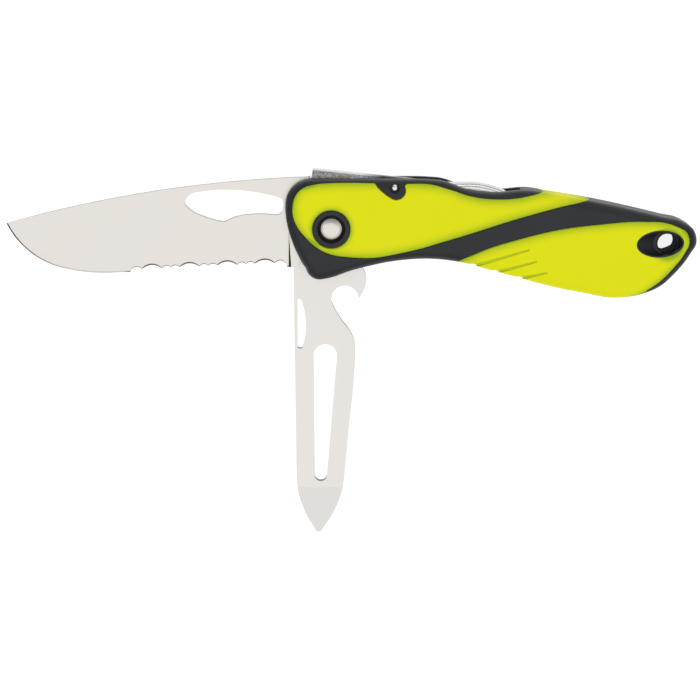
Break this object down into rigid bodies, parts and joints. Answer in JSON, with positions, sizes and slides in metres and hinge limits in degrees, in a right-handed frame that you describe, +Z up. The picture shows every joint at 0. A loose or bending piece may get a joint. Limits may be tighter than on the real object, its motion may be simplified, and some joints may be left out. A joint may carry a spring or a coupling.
{
  "type": "rigging knife",
  "caption": "Folding rigging knife: part-serrated drop-point blade, flat marlinspike with shackle slot and bottle opener, spine lock lever, black handle with yellow grips.",
  "frame": {"origin": "middle of the footprint at the base, with the knife lying on its lower side, blade and spike open as pictured", "axes": "+X along the handle from blade tip to butt, +Y from the spike to the spine, +Z up through the upper side"},
  "size_m": [0.1992, 0.108, 0.0156],
  "materials": {
    "blade_steel": "satin, fine lengthwise grinding",
    "spike_steel": "satin, blanked and tumbled",
    "lever_steel": "grainy blanked sides, polished top",
    "spring_steel": "rolled spring strip",
    "liner_steel": "cold-rolled sheet",
    "polished_steel": "polished",
    "pin_steel": "ground",
    "bronze": "rolled bronze shim",
    "handle_black": "fine matt spark texture",
    "grip_yellow": "soft matt overmoulding"
  },
  "bodies": {
    "handle": {"back_spacer": "handle_black", "upper_shell": "handle_black", "lower_shell": "handle_black", "upper_front_grip": "grip_yellow", "lower_front_grip": "grip_yellow", "upper_rear_grip": "grip_yellow", "lower_rear_grip": "grip_yellow", "upper_liner": "liner_steel", "lower_liner": "liner_steel", "pivot_barrel": "polished_steel", "pivot_stud": "polished_steel", "lever_pin": "polished_steel", "blade_washer": "bronze", "middle_washer": "bronze", "spike_washer": "bronze", "spacer_pins": "pin_steel"},
    "blade": {"blade": "blade_steel"},
    "spike": {"spike": "spike_steel"},
    "lock_lever": {"lock_lever": "lever_steel"},
    "lever_spring": {"lever_spring": "spring_steel"}
  },
  "joints": [
    {"name": "blade_hinge", "type": "hinge", "parent": "handle", "child": "blade", "pos_m": [-0.00565, 0.037, 0.00915], "axis": [0, 0, 1], "range_deg": [0, 173]},
    {"name": "spike_hinge", "type": "hinge", "parent": "handle", "child": "spike", "pos_m": [-0.00565, 0.037, 0.00645], "axis": [0, 0, 1], "range_deg": [-90, 87]},
    {"name": "lever_rock", "type": "hinge", "parent": "handle", "child": "lock_lever", "pos_m": [0.01255, 0.0488, 0.0078], "axis": [0, 0, 1], "range_deg": [0, 6], "stiffness_Nm_per_rad": 0.3, "springref_deg": 8.59},
    {"name": "spring_flex", "type": "hinge", "parent": "handle", "child": "lever_spring", "pos_m": [0.05185, 0.045, 0.0078], "axis": [0, 0, 1], "range_deg": [-12.3, 0.1]}
  ],
  "couplings": [
    {"joint": "spring_flex", "follows": "lever_rock", "ratio": -2.03}
  ]
}
